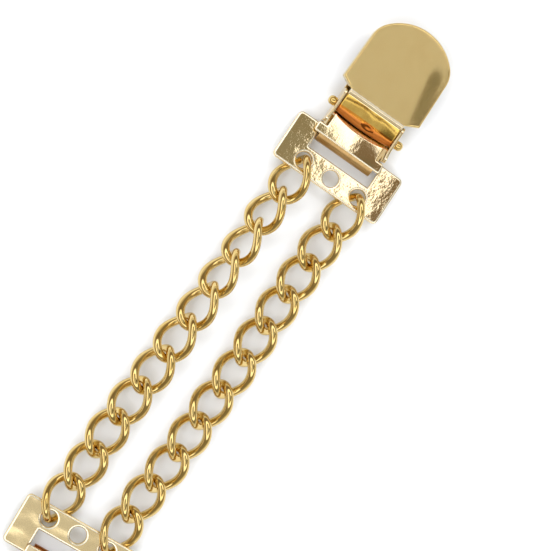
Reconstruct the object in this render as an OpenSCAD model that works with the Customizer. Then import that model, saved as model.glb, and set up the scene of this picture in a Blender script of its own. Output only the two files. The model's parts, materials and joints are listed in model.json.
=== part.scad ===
// Sweater clip: two hinged jaw clips, each looped on a pierced connector plate,
// and two strands of curb chain between the plates.
// Millimetres. It lies on the plane z = 0, with the chain along Y and clip A at +Y.
// The origin is the middle of its outline, on that plane.

/* [Connector plate] */
// Width of a plate across the two strands
plate_w = 23.3; // [21:0.1:27]
// Depth of a plate from its chain edge to its bar edge
plate_d = 10; // [9.6:0.1:12]
// Thickness of a plate
plate_t = 1; // [0.7:0.05:1.1]
// Corner radius of a plate
plate_corner = 0.9; // [0.3:0.1:1.5]
// Diameter of the three holes
hole_d = 3.1; // [3:0.05:3.4]
// Distance between neighbouring holes
hole_pitch = 6.1; // [5.6:0.1:7]
// Distance from the chain edge to the centres of the holes
hole_edge = 2.45; // [2.2:0.05:2.6]
// Depth of the window that the clip's strip folds through
window_d = 4.1; // [3.6:0.1:4.3]
// Width of the bar between the window and the bar edge
bar_w = 0.85; // [0.6:0.05:1]
// Angle by which the chain edge lies higher than the bar
plate_tilt = 5; // [4.5:0.5:7]
// Turn of plate A as it lies, seen from above
turn_a = 1.2; // [-6:0.1:6]
// Turn of plate B as it lies, seen from above
turn_b = 5.3; // [-6:0.1:8]

/* [Chain] */
// Number of links in each strand
link_count = 11; // [7:1:12]
// Thickness of the links' wire
wire_d = 1.5; // [1.2:0.05:1.5]
// Width of a link over its wire
link_w = 7.7; // [7.5:0.05:7.9]
// Length of a link over its wire
link_l = 10.5; // [10:0.1:11]
// Twist of a link between its middle and each of its ends
link_twist = 48; // [46:1:52]
// Play between two links of the right strand before they pull
link_play = 0.41; // [0.3:0.01:0.6]
// How far the end links pass the centres of their holes
pass_hole = 0.15; // [0.05:0.05:0.3]
// How much further the rolled first link of the left strand passes its hole
pass_more = 0.25; // [0.15:0.05:0.3]

/* [Clip body] */
// Thickness of the body's sheet metal
sheet_t = 0.6; // [0.45:0.05:0.7]
// Width of the body over its ears
body_w = 13.5; // [12.5:0.1:15]
// Width of the strip that folds round the bar
fold_w = 12.2; // [11.6:0.1:12.8]
// Room between the strip and each end of the window, when it hangs in the middle
window_room = 0.65; // [0.55:0.05:0.9]
// How far clip A has slid along its bar
slide_a = -0.5; // [-0.5:0.1:0.5]
// How far clip B has slid along its bar
slide_b = -0.2; // [-0.5:0.1:0.5]
// Room between the corners of the bar and the inside of the fold
fold_room = 0.2; // [0.15:0.05:0.3]
// How far each lug stands out past the strip
lug_out = 1.25; // [0.8:0.05:1.5]
// Depth of the lugs
lug_d = 2; // [1.6:0.1:2.4]
// Distance of the lugs' edge from the outside of the fold
lug_inset = 0.1; // [0:0.05:0.3]
// Room between the front leaf and each ear
leaf_room = 0.55; // [0.3:0.05:0.8]
// Room between the front leaf and the jaw's roll, at the middle
leaf_gap_mid = 0.65; // [0.4:0.05:1]
// Room between the front leaf and the jaw's roll, at the sides
leaf_gap_side = 0.25; // [0.2:0.05:0.4]
// Distance from the bar to the hinge pin
pin_reach = 5.05; // [4.8:0.05:5.6]
// Distance from the bar to the start of the ears
ear_start = 0.95; // [0.7:0.05:1.4]
// Distance from the hinge pin to the end of the ears
ear_end = 3.3; // [2.6:0.1:3.4]
// Radius of the ears' upper corners
ear_corner = 1; // [0.6:0.1:1.3]
// How far the lower jaw lies inside the outline of the upper jaw
lower_inset = 0.5; // [0.3:0.1:0.8]
// Gap between the lower jaw's lip and the upper jaw's rim
bite_gap = 0.15; // [0.1:0.05:0.4]

/* [Hinge pin] */
// Diameter of the pin
pin_d = 1.2; // [1:0.05:1.3]
// Diameter of the pin's heads
head_d = 1.75; // [1.6:0.05:2.2]
// Length of each head
head_l = 1.5; // [1:0.1:1.8]
// Length of a head's tapered end
taper_l = 0.3; // [0.1:0.05:0.5]
// Diameter of a head's tip
tip_d = 1.05; // [0.8:0.05:1.4]
// Room between a head and its ear
head_room = 0.05; // [0.02:0.01:0.1]
// Radial clearance of the pin in the ears
ear_clearance = 0.02; // [0.01:0.01:0.05]
// Radial clearance of the pin in the jaw
jaw_clearance = 0.05; // [0.03:0.01:0.08]

/* [Upper jaw] */
// Thickness of the upper jaw's sheet metal
jaw_t = 0.7; // [0.5:0.05:0.8]
// Height of the upper jaw's top over the pin's axis
jaw_rise = 2; // [1.9:0.05:2.4]
// Width of the upper jaw at its shoulders
jaw_w = 17.2; // [16.4:0.1:19]
// Width of the upper jaw where its round end starts
jaw_tip_w = 16.8; // [15.6:0.1:18]
// Distance from the pin to the end of the neck
neck_l = 3.5; // [3.4:0.1:4]
// Depth of the sloping shoulders
shoulder_d = 1.3; // [0.9:0.1:2]
// Length of the straight sides
side_l = 9.05; // [7:0.1:12]
// Depth of the round end
cap_d = 6.5; // [6:0.1:7.6]
// Corner radius of the round end
cap_corner = 5; // [4:0.1:5.5]
// Height of the rim, over all
rim_h = 1.9; // [1.5:0.1:2]
// Thickness of the rim
rim_t = 0.6; // [0.4:0.05:0.8]
// Room between the neck and each ear
neck_room = 0.1; // [0.05:0.05:0.2]
// Room between the ears and the cut in the rim that clears them
rim_room = 0.3; // [0.2:0.05:0.5]
// Radius of the jaw's roll at the middle of the pin
roll_r = 1.65; // [1.5:0.05:1.7]
// Radius of the jaw's roll at its ends
roll_end_r = 1.2; // [1.1:0.05:1.4]
// Room under the roll, over the body's back leaf
roll_room = 0.65; // [0.3:0.05:0.9]
// Distance from the end of the neck back to the step across it
step_back = 0.3; // [0.1:0.05:0.5]
// Depth of the step across the neck
step_drop = 0.5; // [0.3:0.05:0.6]
// Slope of the step across the neck
step_slope = 40; // [30:1:50]

/* [Hidden] */

// Facets of a circle where it matters, and how far a cut runs past a face
smooth = 96;
past = 1;

// Colours
satin_gold = [0.80, 0.70, 0.50];
bright_gold = [0.86, 0.76, 0.55];
chain_gold = [0.80, 0.65, 0.33];

// Sides of a link along its loop and of its wire
link_sides = 16;
wire_sides = 6;

// Routes of the strands, from plate A to plate B: share of the way, shift to the right in mm
ROUTE_LEFT = [
    [0, 0], [0.06, 0.1], [0.14, -0.2], [0.23, -0.3], [0.32, -0.4], [0.41, -0.2], [0.5, -0.3],
    [0.59, -0.25], [0.68, -0.45], [0.77, -0.45], [0.86, -0.2], [0.94, -0.3], [1, 0]];
ROUTE_RIGHT = [
    [0, 0], [0.06, -0.1], [0.14, -0.45], [0.32, -0.25], [0.41, -0.1], [0.5, 0.1],
    [0.59, 0], [0.68, 0.15], [0.77, 0.05], [0.86, -0.3], [0.94, -0.25], [1, 0]];
// Rolls of the links: share of the way, degrees about the strand
ROLL_LEFT = [
    [0.055, 33], [0.145, 43], [0.235, 50], [0.32, 46], [0.41, 37], [0.5, 28],
    [0.59, 19], [0.68, 11], [0.77, 3], [0.86, -5], [0.945, -12]];
ROLL_RIGHT = [
    [0.055, 20], [0.145, 13], [0.235, 6], [0.32, 1], [0.5, 0],
    [0.68, 0], [0.77, -3], [0.855, -7], [0.945, -12]];

// The fold and the bar inside it
fold_r = norm([bar_w, plate_t]) / 2 + fold_room;
bar_z = sheet_t + fold_r;
front_z = bar_z + fold_r;
window_w = fold_w + 2 * window_room;

// Heights of the hinge and the jaws
pin_z = sheet_t + roll_room + roll_r;
jaw_top = pin_z + jaw_rise;
jaw_under = jaw_top - jaw_t;
rim_z = jaw_top - rim_h;
lip_z = rim_z - bite_gap;

// Widths across the hinge
ear_in = body_w / 2 - sheet_t;
neck_half = ear_in - neck_room;
head_in = body_w / 2 + head_room;

// The jaw's roll is a barrel: radius of its crown along the pin
roll_fall = roll_r - roll_end_r;
crown_r = (neck_half * neck_half + roll_fall * roll_fall) / (2 * roll_fall);

// Places along the clip, from the bar's axis
neck_y = pin_reach + neck_l;
side_y = neck_y + shoulder_d;
cap_y = side_y + side_l;

// The round end is an arch of three arcs: two corners and a flatter top
cap_rest = cap_d - cap_corner;
cap_half = jaw_tip_w / 2 - cap_corner;
cap_sink = (cap_half * cap_half - cap_rest * cap_rest) / (2 * cap_rest);
cap_r = cap_d + cap_sink;

// Place of the plates: A's middle hole is the start, and the right strand hangs straight down from it
link_a = (link_w - wire_d) / 2;
link_b = (link_l - wire_d) / 2;
link_pitch = link_l - 2 * wire_d - link_play;
hole_to_bar = (plate_d - hole_edge - bar_w / 2) * cos(plate_tilt);
strand_right = (link_count - 1) * link_pitch + 2 * (link_b - pass_hole);
hole_a = [0, 0];
right_a = hole_a + hole_pitch * [cos(turn_a), sin(turn_a)];
left_a = hole_a - hole_pitch * [cos(turn_a), sin(turn_a)];
right_b = right_a - [0, strand_right];
hole_b = right_b - hole_pitch * [cos(turn_b), sin(turn_b)];
left_b = hole_b - hole_pitch * [cos(turn_b), sin(turn_b)];
bar_a = hole_a + hole_to_bar * [-sin(turn_a), cos(turn_a)];
bar_b = hole_b - hole_to_bar * [-sin(turn_b), cos(turn_b)];
clip_a = bar_a + slide_a * [cos(turn_a), sin(turn_a)];
clip_b = bar_b - slide_b * [cos(turn_b), sin(turn_b)];

// Middle of the outline: the plates' corners at the sides, the round ends of the jaws at the ends
corner_x = plate_w / 2 - plate_corner;
corner_near = bar_w / 2 - plate_corner;
corner_far = -(plate_d - bar_w / 2 - plate_corner) * cos(plate_tilt);
cap_mid = cap_y - cap_sink;
corners_x = [for (y = [corner_near, corner_far]) each [
    bar_a.x + corner_x * cos(turn_a) - y * sin(turn_a) + plate_corner,
    bar_a.x - corner_x * cos(turn_a) - y * sin(turn_a) - plate_corner,
    bar_b.x + corner_x * cos(turn_b) + y * sin(turn_b) + plate_corner,
    bar_b.x - corner_x * cos(turn_b) + y * sin(turn_b) - plate_corner]];
outline_mid = [
    (max(corners_x) + min(corners_x)) / 2,
    (clip_a.y + cap_mid * cos(turn_a) + clip_b.y - cap_mid * cos(turn_b)) / 2];

// A strand is [start, end, how far the centre of its first link lies from the start, route, rolls]
STRAND_LEFT = [left_a, left_b, link_b - pass_hole - pass_more, ROUTE_LEFT, ROLL_LEFT];
STRAND_RIGHT = [right_a, right_b, link_b - pass_hole, ROUTE_RIGHT, ROLL_RIGHT];

// Share of the way at which link i of a strand lies
function strand_share(strand, i) =
    let (len = norm(strand[1] - strand[0]), last = len - link_b + pass_hole)
    (strand[2] + (i - 1) * (last - strand[2]) / (link_count - 1)) / len;

// Point of a strand's route at a share of the way
function strand_point(strand, share) =
    let (way = strand[1] - strand[0], across = [-way.y, way.x] / norm(way))
    strand[0] + way * share + across * lookup(share, strand[3]);

// Turn of the route at a share of the way, from the -Y direction
function strand_turn(strand, share, step = 0.03) =
    let (d = strand_point(strand, min(1, share + step)) - strand_point(strand, max(0, share - step)))
    atan2(d.x, -d.y);

// Centreline of a link's wire: an oval whose cross-section turns as it goes from end to end
function wire_point(t, roll) =
    let (turn = link_twist * sin(t) + roll, u = link_a * cos(t))
    [u * cos(turn), link_b * sin(t), u * sin(turn)];

// One section of the wire, at right angles to its centreline
function wire_ring(t, roll) =
    let (
        along = wire_point(t + 1, roll) - wire_point(t - 1, roll),
        turn = link_twist * sin(t) + roll,
        out = [cos(t) * cos(turn), sin(t), cos(t) * sin(turn)],
        up = cross(along, out) / norm(cross(along, out)),
        side = cross(up, along) / norm(along))
    [for (k = [0:wire_sides - 1])
        let (a = (k + 0.5) * 360 / wire_sides)
        wire_point(t, roll) + wire_d / 2 * (side * cos(a) + up * sin(a))];

// All points of a link, section by section, and the height at which it rests on the plane
function link_points(roll) =
    [for (i = [0:link_sides - 1]) each wire_ring(i * 360 / link_sides, roll)];
function link_rest(points) = -min([for (p = points) p.z]);

function ring_index(i, k) = (i % link_sides) * wire_sides + k % wire_sides;

// Puts its children in the frame of plate or clip A or B: the bar's axis over X, the jaw's tip toward Y
module at_end_a(place) {
    translate(concat(place - outline_mid, 0)) rotate([0, 0, turn_a]) children();
}

module at_end_b(place) {
    translate(concat(place - outline_mid, 0)) rotate([0, 0, 180 + turn_b]) children();
}

// Bar with its two ends in the XZ directions, centred on x = 0
module across(width) {
    translate([-width / 2, 0, 0]) rotate([90, 0, 90]) linear_extrude(width) children();
}

// Rounded rectangle from exact arcs
module rounded_rect(x0, y0, x1, y1, r) {
    translate([x0 + r, y0]) square([x1 - x0 - 2 * r, y1 - y0]);
    translate([x0, y0 + r]) square([x1 - x0, y1 - y0 - 2 * r]);
    for (x = [x0 + r, x1 - r], y = [y0 + r, y1 - r])
        translate([x, y]) circle(r, $fn = smooth);
}

// Outline of the jaws in plan, drawn in from the upper jaw's own outline
module jaw_outline(inset = 0) {
    half = jaw_w / 2 - inset;
    tip_half = jaw_tip_w / 2 - inset;
    reach = 2 * cap_r;
    translate([0, cap_mid]) intersection() {
        circle(cap_r - inset, $fn = 2 * smooth);
        polygon([[0, 0], [reach * cap_half, reach * cap_sink], [-reach * cap_half, reach * cap_sink]]);
    }
    for (s = [-1, 1])
        translate([s * cap_half, cap_y]) circle(cap_corner - inset, $fn = smooth);
    polygon([
        [-neck_half, neck_y + inset], [-half, side_y + inset], [-tip_half, cap_y], [-cap_half, cap_y],
        [0, cap_mid], [cap_half, cap_y], [tip_half, cap_y], [half, side_y + inset], [neck_half, neck_y + inset]]);
}

// Plate that the two strands and the clip hang on
module connector_plate() {
    color(bright_gold) translate([0, 0, bar_z]) rotate([-plate_tilt, 0, 0])
        translate([0, bar_w / 2 - plate_d, -plate_t / 2]) linear_extrude(plate_t) difference() {
            rounded_rect(-plate_w / 2, 0, plate_w / 2, plate_d, plate_corner);
            translate([-window_w / 2, plate_d - bar_w - window_d]) square([window_w, window_d]);
            for (s = [-1:1])
                translate([s * hole_pitch, hole_edge]) circle(d = hole_d, $fn = smooth);
        }
}

// Front leaf with its two lugs, flat, and its far edge curved round the jaw's roll
module front_leaf() {
    leaf_half = ear_in - leaf_room;
    side_roll = roll_r - crown_r + sqrt(crown_r * crown_r - leaf_half * leaf_half);
    mid_y = pin_reach - roll_r - leaf_gap_mid;
    side_end = pin_reach - side_roll - leaf_gap_side;
    rise = side_end - mid_y;
    edge_r = (leaf_half * leaf_half + rise * rise) / (2 * rise);
    lug_y = lug_inset - fold_r - sheet_t;
    difference() {
        translate([-leaf_half, 0]) square([2 * leaf_half, side_end]);
        translate([0, mid_y + edge_r]) circle(edge_r, $fn = 2 * smooth);
    }
    translate([-fold_w / 2, 0]) square([fold_w, lug_y + lug_d]);
    for (x = [-fold_w / 2 - lug_out, fold_w / 2])
        translate([x, lug_y]) square([lug_out, lug_d]);
}

// Ear that carries the pin, in the YZ plane
module ear() {
    y0 = ear_start;
    y1 = pin_reach + ear_end;
    difference() {
        union() {
            square([y1 - y0, jaw_under - ear_corner]);
            translate([ear_corner, 0]) square([y1 - y0 - 2 * ear_corner, jaw_under]);
            for (y = [ear_corner, y1 - y0 - ear_corner])
                translate([y, jaw_under - ear_corner]) circle(ear_corner, $fn = smooth);
        }
        translate([pin_reach - y0, pin_z]) circle(pin_d / 2 + ear_clearance, $fn = smooth);
    }
}

// Body of a clip: lower jaw, back leaf, ears, and the strip folded round the bar
module loop_body() {
    color(bright_gold) {
        linear_extrude(sheet_t) {
            translate([-fold_w / 2, 0]) square([fold_w, side_y]);
            translate([-body_w / 2, ear_start]) square([body_w, side_y + lower_inset - ear_start]);
            jaw_outline(lower_inset);
        }
        linear_extrude(lip_z) intersection() {
            difference() {
                jaw_outline(lower_inset);
                jaw_outline(lower_inset + sheet_t);
            }
            translate([-jaw_w / 2, cap_y]) square([jaw_w, cap_d]);
        }
        for (x = [-body_w / 2, ear_in])
            translate([x, ear_start, 0]) rotate([90, 0, 90]) linear_extrude(sheet_t) ear();
        across(fold_w) translate([0, bar_z]) difference() {
            circle(fold_r + sheet_t, $fn = smooth);
            circle(fold_r, $fn = smooth);
            translate([0, -fold_r - past * 2]) square(2 * (fold_r + past * 2));
        }
        translate([0, 0, front_z]) linear_extrude(sheet_t) front_leaf();
    }
}

// Pin with a slightly pointed head at each end
module hinge_pin() {
    color(satin_gold) translate([0, pin_reach, pin_z]) {
        rotate([0, 90, 0]) cylinder(h = 2 * head_in + head_l, d = pin_d, center = true, $fn = smooth);
        for (s = [-1, 1]) {
            rotate([0, 90 * s, 0]) translate([0, 0, head_in]) {
                cylinder(h = head_l - taper_l, d = head_d, $fn = smooth);
                translate([0, 0, head_l - taper_l])
                    cylinder(h = taper_l, d1 = head_d, d2 = tip_d, $fn = smooth);
            }
        }
    }
}

// Side view of the neck: from the flat top down over a step to the roll
module neck_profile() {
    step_top_y = neck_y - step_back;
    step_r = step_drop;
    groove_z = jaw_top - step_drop;
    arc_end = [step_top_y - step_r * sin(step_slope), jaw_top - step_r * (1 - cos(step_slope))];
    groove = [arc_end.x - (arc_end.y - groove_z) / tan(step_slope), groove_z];
    from_pin = groove - [pin_reach, pin_z];
    seat = atan2(from_pin.y, from_pin.x) + acos(roll_end_r / norm(from_pin));
    mitre = jaw_t * tan(step_slope / 2);
    pin = [pin_reach, pin_z];
    polygon(concat(
        [[side_y, jaw_under], [side_y, jaw_top]],
        [for (a = [0:step_slope / 4:step_slope])
            [step_top_y - step_r * sin(a), jaw_top - step_r * (1 - cos(a))]],
        [groove, pin + roll_end_r * [cos(seat), sin(seat)], pin + (roll_end_r - jaw_t) * [cos(seat), sin(seat)],
         groove + [mitre, -jaw_t], [step_top_y + mitre, jaw_under]]));
}

// Upper jaw: a shallow cap with a neck that rolls round the pin
module front_jaw() {
    color(satin_gold) difference() {
        union() {
            difference() {
                translate([0, 0, rim_z]) linear_extrude(rim_h) jaw_outline();
                translate([0, 0, rim_z - past]) linear_extrude(rim_h - jaw_t + past) {
                    jaw_outline(rim_t);
                    translate([-body_w / 2 - rim_room, neck_y - past])
                        square([body_w + 2 * rim_room, 2 * past + shoulder_d]);
                }
            }
            across(2 * neck_half) neck_profile();
            translate([0, pin_reach, pin_z]) rotate([0, 90, 0]) rotate_extrude($fn = smooth) intersection() {
                translate([roll_r - crown_r, 0]) circle(crown_r, $fn = 8 * smooth);
                translate([0, -neck_half]) square([roll_r, 2 * neck_half]);
            }
        }
        translate([0, pin_reach, pin_z]) rotate([0, 90, 0])
            cylinder(h = body_w, r = pin_d / 2 + jaw_clearance, center = true, $fn = smooth);
    }
}

// Link i of a strand, twisted, lying on the plane
module chain_link(strand, i) {
    share = strand_share(strand, i);
    points = link_points(lookup(share, strand[4]));
    color(chain_gold) translate(concat(strand_point(strand, share) - outline_mid, link_rest(points)))
        rotate([0, 0, strand_turn(strand, share)])
            polyhedron(points = points, faces = [for (n = [0:link_sides - 1], k = [0:wire_sides - 1]) each [
                [ring_index(n, k), ring_index(n + 1, k), ring_index(n + 1, k + 1)],
                [ring_index(n, k), ring_index(n + 1, k + 1), ring_index(n, k + 1)]]]);
}

at_end_a(clip_a) front_jaw();  // front_jaw_a
at_end_b(clip_b) front_jaw();  // front_jaw_b
at_end_a(clip_a) loop_body();  // loop_body_a
at_end_b(clip_b) loop_body();  // loop_body_b
at_end_a(clip_a) hinge_pin();  // hinge_pin_a
at_end_b(clip_b) hinge_pin();  // hinge_pin_b
at_end_a(bar_a) connector_plate();  // connector_plate_a
at_end_b(bar_b) connector_plate();  // connector_plate_b
for (i = [1:link_count]) {
    chain_link(STRAND_LEFT, i);
    chain_link(STRAND_RIGHT, i);
}
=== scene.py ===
# Looks of the sweater clip: smooth sheet metal, rolled hinge, polished plates and curb chain.
# Shapes are built in millimetres in the frame of their own clip or plate, and placed in metres.
import json
import math

import bpy
import bmesh
from mathutils import Matrix, Vector, noise
from mathutils.geometry import delaunay_2d_cdt


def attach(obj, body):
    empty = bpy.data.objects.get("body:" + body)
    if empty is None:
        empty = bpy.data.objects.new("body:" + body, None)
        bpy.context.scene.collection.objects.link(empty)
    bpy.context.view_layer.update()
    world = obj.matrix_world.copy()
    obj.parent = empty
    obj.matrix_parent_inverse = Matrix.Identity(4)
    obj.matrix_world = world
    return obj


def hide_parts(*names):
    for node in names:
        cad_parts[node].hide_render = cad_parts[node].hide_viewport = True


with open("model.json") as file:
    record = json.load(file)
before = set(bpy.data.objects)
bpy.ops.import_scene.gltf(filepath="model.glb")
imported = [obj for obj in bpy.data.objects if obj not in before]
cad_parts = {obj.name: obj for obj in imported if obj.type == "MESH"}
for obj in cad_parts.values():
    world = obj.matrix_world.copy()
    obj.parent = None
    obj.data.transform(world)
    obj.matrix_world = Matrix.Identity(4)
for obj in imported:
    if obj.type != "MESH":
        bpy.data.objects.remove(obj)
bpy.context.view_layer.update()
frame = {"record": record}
record = frame["record"]

MM = 0.001
JOINTS = {j["name"]: j for j in record["behaviour"]["joints"]}
MOUNTS = {m["name"]: m for m in record["mounts"]}
UP = Vector((0, 0, 1))

# Connector plate, in mm: its outline, its three holes and its window, with the bar beyond the window
PLATE_W, PLATE_D, PLATE_T, PLATE_CORNER = 23.3, 10.0, 1.0, 0.9
HOLE_R, HOLE_PITCH, HOLE_EDGE = 1.55, 6.1, 2.45
WINDOW_W, WINDOW_D, WINDOW_CORNER, BAR_W = 13.5, 4.1, 0.12, 0.85
PLATE_EDGE, PLATE_BEVEL = 0.15, 0.22
PLATE_STEP, PLATE_CELL = 0.45, 0.42

# Unevenness of a plate: how it falls away from its middle, more so on its wings, and its waves
WING_X = 6
PLATE_FALL, WING_FALL_LEFT, WING_FALL_RIGHT = 0.0006, 0.0022, 0.0015
PLATE_WAVE = {"a": 0.02, "b": 0.025}
WAVE_SHIFT = {"a": 0, "b": 7}
WAVE_PER_X, WAVE_PER_Y, WAVE_SLICE = 0.35, 0.5, 3.0

# Clip body: sheet, fold, front leaf with its lugs, ears and lower jaw
SHEET_T, BODY_W, FOLD_W, FOLD_R = 0.6, 13.5, 12.2, 0.856
FOLD_BULGE = {"a": 1.2, "b": 0.5}
BAR_Z = SHEET_T + FOLD_R
FRONT_Z = BAR_Z + FOLD_R
LUG_OUT, LUG_D, LUG_INSET, LUG_CORNER = 1.25, 2.0, 0.1, 0.42
LEAF_HALF, LEAF_CORNER, LEAF_BEVEL = 5.6, 0.2, 0.2
LEAF_Y = LUG_INSET - FOLD_R - SHEET_T
GAP_MID, GAP_SIDE, TIP_CLEAR = 0.65, 0.25, 0.62
EAR_START, EAR_END, EAR_CORNER = 0.95, 8.35, 1.0
EAR_FLARE, FLARE_Y, FLARE_WAY, FLARE_RISE, FLARE_POWER = 0.35, 3.6, 2.6, 1.2, 1.5
LOWER_INSET, LOWER_CORNER, LIP_FOOT, LIP_Z = 0.5, 0.3, 0.1, 2.85
SHEET_EDGE, EAR_EDGE, LIP_EDGE, FOLD_EDGE = 0.12, 0.13, 0.1, 0.08
SHEET_STEP, SHEET_CELL, EAR_CELL, LIP_CELL = 0.6, 0.8, 0.7, 0.6
LEAF_STEP, LEAF_CELL, FOLD_STEP, FOLD_CELL = 0.4, 0.4, 0.5, 0.6
SKIN_GAP = 0.03
# Where the fold's painted shade starts: faces beyond the leaf's edge, or past this y and under the front
# sheet
FOLD_FROM_Y, FOLD_MARGIN = -0.2, 0.02

# Spring curve of the front leaf: its height at the top, and how it falls along y and across x
LEAF_RISE, LEAF_TOP_Y, LEAF_FALL = 0.4, -4, 0.010
LEAF_SLANT, LEAF_END_SLANT, LEAF_SEAT = 0.01, 0.03, 0.04
CREST_X, CREST_LEFT, CREST_RIGHT = -1, 0.002, 0.006

# Hinge pin with its heads
PIN_Y, PIN_Z, PIN_R, PIN_ROOM = 5.05, 2.9, 0.6, 0.02
HEAD_R, HEAD_IN, HEAD_L, HEAD_SOFT, HEAD_ROUND, HEAD_POWER = 0.875, 6.8, 1.5, 0.12, 0.75, 0.8

# Upper jaw: flap with its rim and dent
JAW_TOP, JAW_T, RIM_H, RIM_T = 4.9, 0.7, 1.9, 0.6
NECK_HALF, NECK_Y, SIDE_Y, CAP_Y = 6.05, 8.55, 9.85, 18.9
JAW_HALF, TIP_HALF, CAP_D, CAP_CORNER = 8.6, 8.4, 6.5, 5.0
SOFT, SOFT_Z, SOFT_START, NECK_MARGIN = 0.45, 0.35, 0.45, 0.5
RIM_SOFT, RIM_CUT_IN, RIM_CUT_UP, FILLET_DROP, FILLET_IN = 0.15, 0.05, 0.04, 1.2, 0.2
JAW_STEP, FLAP_STEP, FLAP_CELL = 0.5, 0.4, 0.5
DENT_X, DENT_SLANT, DENT_WAY, DENT_DEPTH, DENT_GROWTH = 5.8, 0.17, 3.3, 0.29, 0.012
DENT_X_AT_Y, DENT_DEPTH_AT_Y, DENT_START, DENT_END, DENT_FADE = 10, 17, 1.5, 21.5, 3

# Neck of the flap: a step, a groove and the roll round the pin, with a stamped dimple
NECK_UNDER, NECK_FLAT, SKIN_MARGIN = 0.05, 0.15, 0.05
STEP_IN, STEP_R, STEP_DROP, STEP_SLOPE = 0.3, 0.5, 0.5, 40
ROLL_R, ROLL_END_R, ROLL_T, ROLL_END = 1.65, 1.2, 0.55, 305
NECK_EDGE, NECK_COLS, ROLL_STEPS, COL_BUNCHING = 0.14, 49, 60, 1.15
CROWN_R = (NECK_HALF ** 2 + (ROLL_R - ROLL_END_R) ** 2) / (2 * (ROLL_R - ROLL_END_R))
DIMPLE_X, DIMPLE_AT, DIMPLE_DEPTH, DIMPLE_HALF, DIMPLE_SPAN = 0.6, 116.0, 0.25, 1.4, 27
DIMPLE_SOFT = 1.3

# Skins of the neck: painted highlight lines at these y on the step, and round the roll, in degrees up from
# the side of the jaw's tip, a painted olive reflection up to the crest's end and a painted red reflection
# from the foot on
PAINTED_GLINT_LINES = ((7.9, 8.06), (8.26, 8.42))
CREST_END, FOOT_START, FOOT_UNDER = 62, 106, -160

# Curb links: their number in a strand, half width and half length of the twisted oval, twist in degrees
LINKS, LINK_A, LINK_B, TWIST = 11, 3.1, 4.5, 48.0

# Half width and half thickness of the wire, which turns round towards an end that hangs in a plate
WIRE_WIDE, WIRE_THICK, ROUND_START, ROUND_WAY = 0.84, 0.75, -0.3, 0.4

# Share of a strand to either side of a link over which its direction is measured
BEND_REACH = 0.03

# Meshes: the bevel's slope and inner ring, the slopes that count as bevel, how regions are filled,
# what counts as one point, and the angle of a sharp edge
BEVEL_SLOPE, BEVEL_INNER = 0.4, 0.05
BEVEL_LOW, BEVEL_HIGH = 0.89, 0.96
ROW_SHARE, CLEAR_SHARE = 0.866, 0.6
MITRE_LIMIT, SAME_POINT = 0.5, 1e-4
MERGE, DEGENERATE, SHARP = 2e-7, 1e-7, math.radians(50)


def unit(value):
    """The value kept between 0 and 1."""
    return min(1.0, max(0.0, value))


def basis(x, z):
    """Rotation whose columns are the axes of a frame with this x and this z."""
    x, z = Vector(x).normalized(), Vector(z).normalized()
    y = z.cross(x).normalized()
    return Matrix((x, y, x.cross(y))).transposed().to_4x4()


def clip_matrix(end):
    """Frame of a clip: origin on the floor under its bar, y towards the jaw's tip."""
    joint = JOINTS[f"jaw_{end}_opening"]
    turn = basis(joint["axis"], UP)
    pin = Vector(joint["pos_m"])
    origin = pin - turn.col[1].to_3d() * PIN_Y * MM
    return Matrix.Translation((origin.x, origin.y, 0)) @ turn @ Matrix.Scale(MM, 4)


def plate_matrix(end):
    """Frame of a plate: origin on the bar's axis, z along the plate's normal."""
    joint = JOINTS[f"clip_{end}_swing"]
    turn = basis(joint["axis"], MOUNTS[f"middle_hole_{end}"]["axis"])
    return Matrix.Translation(joint["pos_m"]) @ turn @ Matrix.Scale(MM, 4)


# Outlines

def arc(cx, cy, r, a0, a1, n):
    """Points of an arc, from angle a0 to a1 in degrees, both included."""
    points = []
    for i in range(n + 1):
        a = math.radians(a0 + (a1 - a0) * i / n)
        points.append(Vector((cx + r * math.cos(a), cy + r * math.sin(a))))
    return points


def round_hole(cx, cy, r, sides):
    """Outline of a round hole, clockwise."""
    return arc(cx, cy, r, 360, 360 / sides, sides - 1)


def rounded(points, r, n=5):
    """A closed outline with its corners rounded: a point is (x, y) or (x, y, own radius)."""
    out = []
    count = len(points)
    for i, p in enumerate(points):
        own = p[2] if len(p) > 2 else r
        here = Vector(p[:2])
        before = Vector(points[i - 1][:2])
        after = Vector(points[(i + 1) % count][:2])
        if own <= 0:
            out.append(here)
            continue
        a, b = (before - here).normalized(), (after - here).normalized()
        half = a.angle(b) / 2
        reach = own / math.tan(half)
        middle = here + (a + b).normalized() * (own / math.sin(half))
        arm, last_arm = here + a * reach - middle, here + b * reach - middle
        sweep = arm.angle_signed(last_arm)
        for k in range(n + 1):
            t = -sweep * k / n
            c, s = math.cos(t), math.sin(t)
            out.append(middle + Vector((arm.x * c - arm.y * s, arm.x * s + arm.y * c)))
    return out


def dense(loop, step):
    """The same closed outline with points no further apart than step."""
    out = []
    for i, p in enumerate(loop):
        q = loop[(i + 1) % len(loop)]
        n = max(1, math.ceil((q - p).length / step))
        out += [p.lerp(q, k / n) for k in range(n)]
    clean = []
    for p in out:
        if not clean or (p - clean[-1]).length > SAME_POINT:
            clean.append(p)
    return clean


def inward(loop):
    """Inward normals of a closed outline, lengthened at its corners."""
    out = []
    for i, p in enumerate(loop):
        a = (p - loop[i - 1]).normalized()
        b = (loop[(i + 1) % len(loop)] - p).normalized()
        na, nb = Vector((-a.y, a.x)), Vector((-b.y, b.x))
        out.append((na + nb) / max(MITRE_LIMIT, 1 + na.dot(nb)))
    return out


def inside(x, y, loops):
    """Even-odd test of a point against closed outlines."""
    hit = False
    for loop in loops:
        for i, p in enumerate(loop):
            q = loop[i - 1]
            if (p.y > y) != (q.y > y) and x < (q.x - p.x) * (y - p.y) / (q.y - p.y) + p.x:
                hit = not hit
    return hit


# Solids, each a list of vertices and a list of faces

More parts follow.
